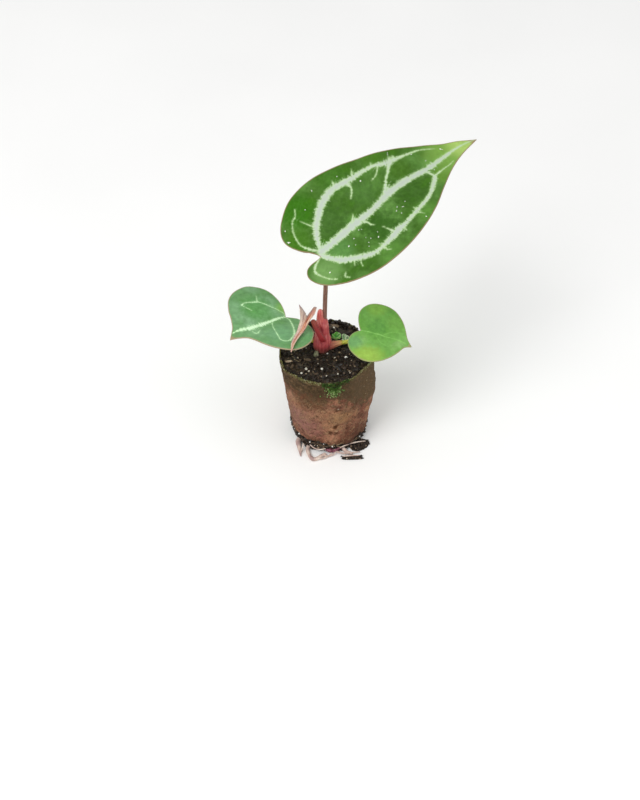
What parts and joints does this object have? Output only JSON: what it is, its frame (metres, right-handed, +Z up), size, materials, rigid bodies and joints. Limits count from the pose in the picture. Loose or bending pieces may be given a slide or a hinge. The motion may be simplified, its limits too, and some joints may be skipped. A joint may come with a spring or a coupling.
{
  "type": "potted anthurium",
  "caption": "Young anthurium with heart-shaped, silver-veined leaves on a red crown, rooted in a tapered paper-wrapped plug of soil with roots at its foot.",
  "frame": {"origin": "centre of the plug's flat bottom, on the surface that it stands on", "axes": "+Z up along the plug, -Y towards the side where the loose roots lie, +X to the side of the large leaf's tip"},
  "size_m": [0.1053, 0.0861, 0.1187],
  "materials": {
    "paper_sleeve": "matt damp fibre paper",
    "soil": "matt crumbly peat",
    "crown_stem": "waxy red stem",
    "cataphyll": "waxy pink-red sheath",
    "old_stalk": "dull dark red stem",
    "dried_bract": "dry papery bract",
    "brown_petiole": "smooth brown-mauve stalk",
    "green_petiole": "smooth yellow-green stalk",
    "petiole_sheath": "dull orange-brown sheath",
    "large_blade": "satin green blade with silvery veins",
    "left_blade": "satin grey-green blade with pale veins",
    "right_blade": "satin light green blade",
    "root": "pale fleshy root",
    "purple_root": "purple fleshy root",
    "soil_crust": "dark root-bound soil crust",
    "seedling": "soft green leaflets"
  },
  "bodies": {
    "root": {"sleeve": "paper_sleeve", "soil": "soil", "crown": "crown_stem", "cataphyll": "cataphyll", "old_stalk": "old_stalk", "dry_bract": "dried_bract", "aerial_root": "root", "petiole_large": "brown_petiole", "leaf_large": "large_blade", "petiole_left": "green_petiole", "leaf_left": "left_blade", "sheath_right": "petiole_sheath", "petiole_right": "green_petiole", "leaf_right": "right_blade", "seedling": "seedling", "root_pale": "root", "root_looped": "root", "root_purple": "purple_root", "root_white": "root", "soil_crust": "soil_crust", "crust_strip": "soil_crust"}
  },
  "joints": []
}
